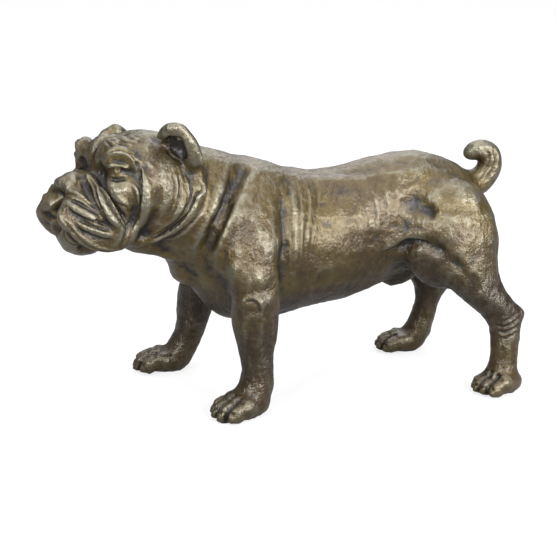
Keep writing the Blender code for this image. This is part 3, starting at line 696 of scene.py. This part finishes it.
class STATUE_OT_bulldog(bpy.types.Operator):
    """Works the cast's folds, eyes, coat and paws on a copy of the solid, and patinates it"""
    bl_idname = "statue.bulldog"
    bl_label = "Cast bronze bulldog"

    def execute(self, context):
        settings = context.scene.statue_settings
        piece = bpy.data.objects.new("bronze_bulldog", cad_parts["bulldog"].data.copy())
        context.scene.collection.objects.link(piece)
        bpy.ops.object.select_all(action="DESELECT")
        context.view_layer.objects.active = piece
        piece.select_set(True)
        bpy.ops.object.mode_set(mode="EDIT")
        bpy.ops.mesh.select_all(action="SELECT")
        bpy.ops.mesh.remove_doubles(threshold=1e-6)
        bpy.ops.object.mode_set(mode="OBJECT")
        remesh = piece.modifiers.new("squares", "REMESH")
        remesh.mode = "VOXEL"
        remesh.voxel_size = settings.skin_square * 1.0
        bpy.ops.object.modifier_apply(modifier=remesh.name)

        skin = Skin(piece.data, settings.fold_share)
        to_head = HEAD.inverted()
        along = skin.places @ np.array(to_head.to_3x3())[0] + to_head.translation[0]
        on_body = np.clip((along - FACE_END) / FACE_BLEND, 0, 1)
        by_ground = np.clip((PAW_TOP - skin.places[:, 2]) / PAW_BLEND, 0, 1)
        skin.relax(settings.relax_rounds, 0.18 + 0.5 * on_body * (1 - 0.8 * by_ground))
        carve_face(skin)
        carve_eyes(skin)
        carve_ears(skin)
        carve_neck_and_body(skin)
        work_surface(skin)
        carve_legs(skin)
        carve_tail(skin)
        skin.relax(rounds=1, strength=np.full(len(skin.places), 0.45))
        skin.sharpen(rounds=8, gain=0.55)
        keep_in_box(skin)

        thin = piece.modifiers.new("thin", "DECIMATE")
        thin.ratio = min(1.0, settings.most_triangles / (2 * len(piece.data.polygons)))
        bpy.ops.object.modifier_apply(modifier=thin.name)
        drop_fins(piece.data)
        bpy.ops.object.shade_smooth()
        store_relief(piece.data)
        piece.data.materials.clear()
        piece.data.materials.append(cast_bronze(settings))
        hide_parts("bulldog")
        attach(piece, "root")
        return {"FINISHED"}


class STATUE_OT_stage(bpy.types.Operator):
    """Sets the pale floor, the soft studio lights and the camera"""
    bl_idname = "statue.stage"
    bl_label = "Studio stage"

    def execute(self, context):
        settings = context.scene.stage_settings
        bpy.ops.object.select_all(action="DESELECT")
        bpy.ops.mesh.primitive_plane_add(size=12, location=(0, 0, -0.0002))
        floor = context.object
        floor.name = "studio_floor"
        floor.data.materials.append(studio_floor(settings))

        aim = Vector((0.012, 0.0, 0.155)) + LAYOUT_SHIFT * MM
        azimuth, elevation = settings.azimuth, settings.elevation
        back = Vector((math.sin(azimuth) * math.cos(elevation), -math.cos(azimuth) * math.cos(elevation),
                       math.sin(elevation)))
        bpy.ops.object.camera_add(location=aim + back * settings.distance)
        camera = context.object
        camera.name = "camera"
        camera.rotation_mode = "QUATERNION"
        camera.rotation_quaternion = (-back).to_track_quat("-Z", "Y")
        camera.data.sensor_width = 36.0
        camera.data.lens = PIXELS_PER_METRE * settings.distance * camera.data.sensor_width / FRAME_WIDTH
        camera.data.shift_x = FRAME_SHIFT / FRAME_WIDTH
        context.scene.camera = camera

        for name, place, power, size in (
                ("key_light", (-1.8, -2.0, 1.6), 66, 0.9),
                ("front_light", (0.9, -2.4, 1.25), 72, 1.2),
                ("side_light", (2.0, -1.7, 1.0), 32, 0.8),
                ("top_light", (0.2, 0.0, 2.6), 12, 1.2),
                ("back_light", (0.8, 2.2, 1.6), 12, 1.4)):
            bpy.ops.object.light_add(type="AREA", location=place)
            light = context.object
            light.name = name
            light.data.energy = power
            light.data.size = size
            light.rotation_mode = "QUATERNION"
            light.rotation_quaternion = (Vector((0, 0, 0.2)) - Vector(place)).to_track_quat("-Z", "Y")

        bpy.ops.object.light_add(type="SUN", location=(0, 0, 3))
        sun = context.object
        sun.name = "ceiling_light"
        sun.data.energy = settings.ceiling_light
        sun.data.angle = math.radians(80)

        world = bpy.data.worlds.new("studio")
        context.scene.world = world
        world.use_nodes = True
        tree = world.node_tree
        room = tree.nodes["Background"]
        way = add_node(tree, "ShaderNodeTexCoord").outputs["Generated"]
        height = add_node(tree, "ShaderNodeSeparateXYZ", i0=way).outputs["Z"]
        seen = add_node(tree, "ShaderNodeLightPath").outputs["Is Camera Ray"]
        glow = add_node(tree, "ShaderNodeMapRange", CLAMPED, Value=height, i1=-0.1, i2=0.9,
                        i3=settings.room_low, i4=settings.room_high).outputs[0]
        strength = add_node(tree, "ShaderNodeMix", i0=seen, i2=glow, i3=1.05).outputs[0]
        warmth = add_node(tree, "ShaderNodeMapRange", CLAMPED, Value=height, i1=-0.2, i2=0.5).outputs[0]
        warmth = add_node(tree, "ShaderNodeMath", MAXIMUM, i0=warmth, i1=seen).outputs[0]
        tint = add_node(tree, "ShaderNodeMix", COLOURS, i0=warmth, i6=linear("d3dae2"), i7=linear("ffffff"))
        tree.links.new(tint.outputs[2], room.inputs["Color"])
        tree.links.new(strength, room.inputs["Strength"])
        context.scene.view_settings.view_transform = "Standard"
        return {"FINISHED"}


class STATUE_PT_panel(bpy.types.Panel):
    """Lists the statue's operators and settings"""
    bl_idname = "STATUE_PT_panel"
    bl_label = "Bulldog statue"
    bl_space_type = "VIEW_3D"
    bl_region_type = "UI"
    bl_category = "Bulldog statue"

    def draw(self, context):
        for settings, operator in ((context.scene.statue_settings, STATUE_OT_bulldog),
                                   (context.scene.stage_settings, STATUE_OT_stage)):
            box = self.layout.box()
            for key in settings.bl_rna.properties.keys():
                if key not in ("rna_type", "name"):
                    box.prop(settings, key)
            box.operator(operator.bl_idname)


CLASSES = (StatueSettings, StageSettings, STATUE_OT_bulldog, STATUE_OT_stage, STATUE_PT_panel)


def register():
    for cls in CLASSES:
        bpy.utils.register_class(cls)
    bpy.types.Scene.statue_settings = PointerProperty(type=StatueSettings)
    bpy.types.Scene.stage_settings = PointerProperty(type=StageSettings)


def unregister():
    del bpy.types.Scene.stage_settings
    del bpy.types.Scene.statue_settings
    for cls in reversed(CLASSES):
        bpy.utils.unregister_class(cls)


def main():
    register()
    bpy.ops.statue.stage()
    bpy.ops.statue.bulldog()


if __name__ == "__main__":
    main()
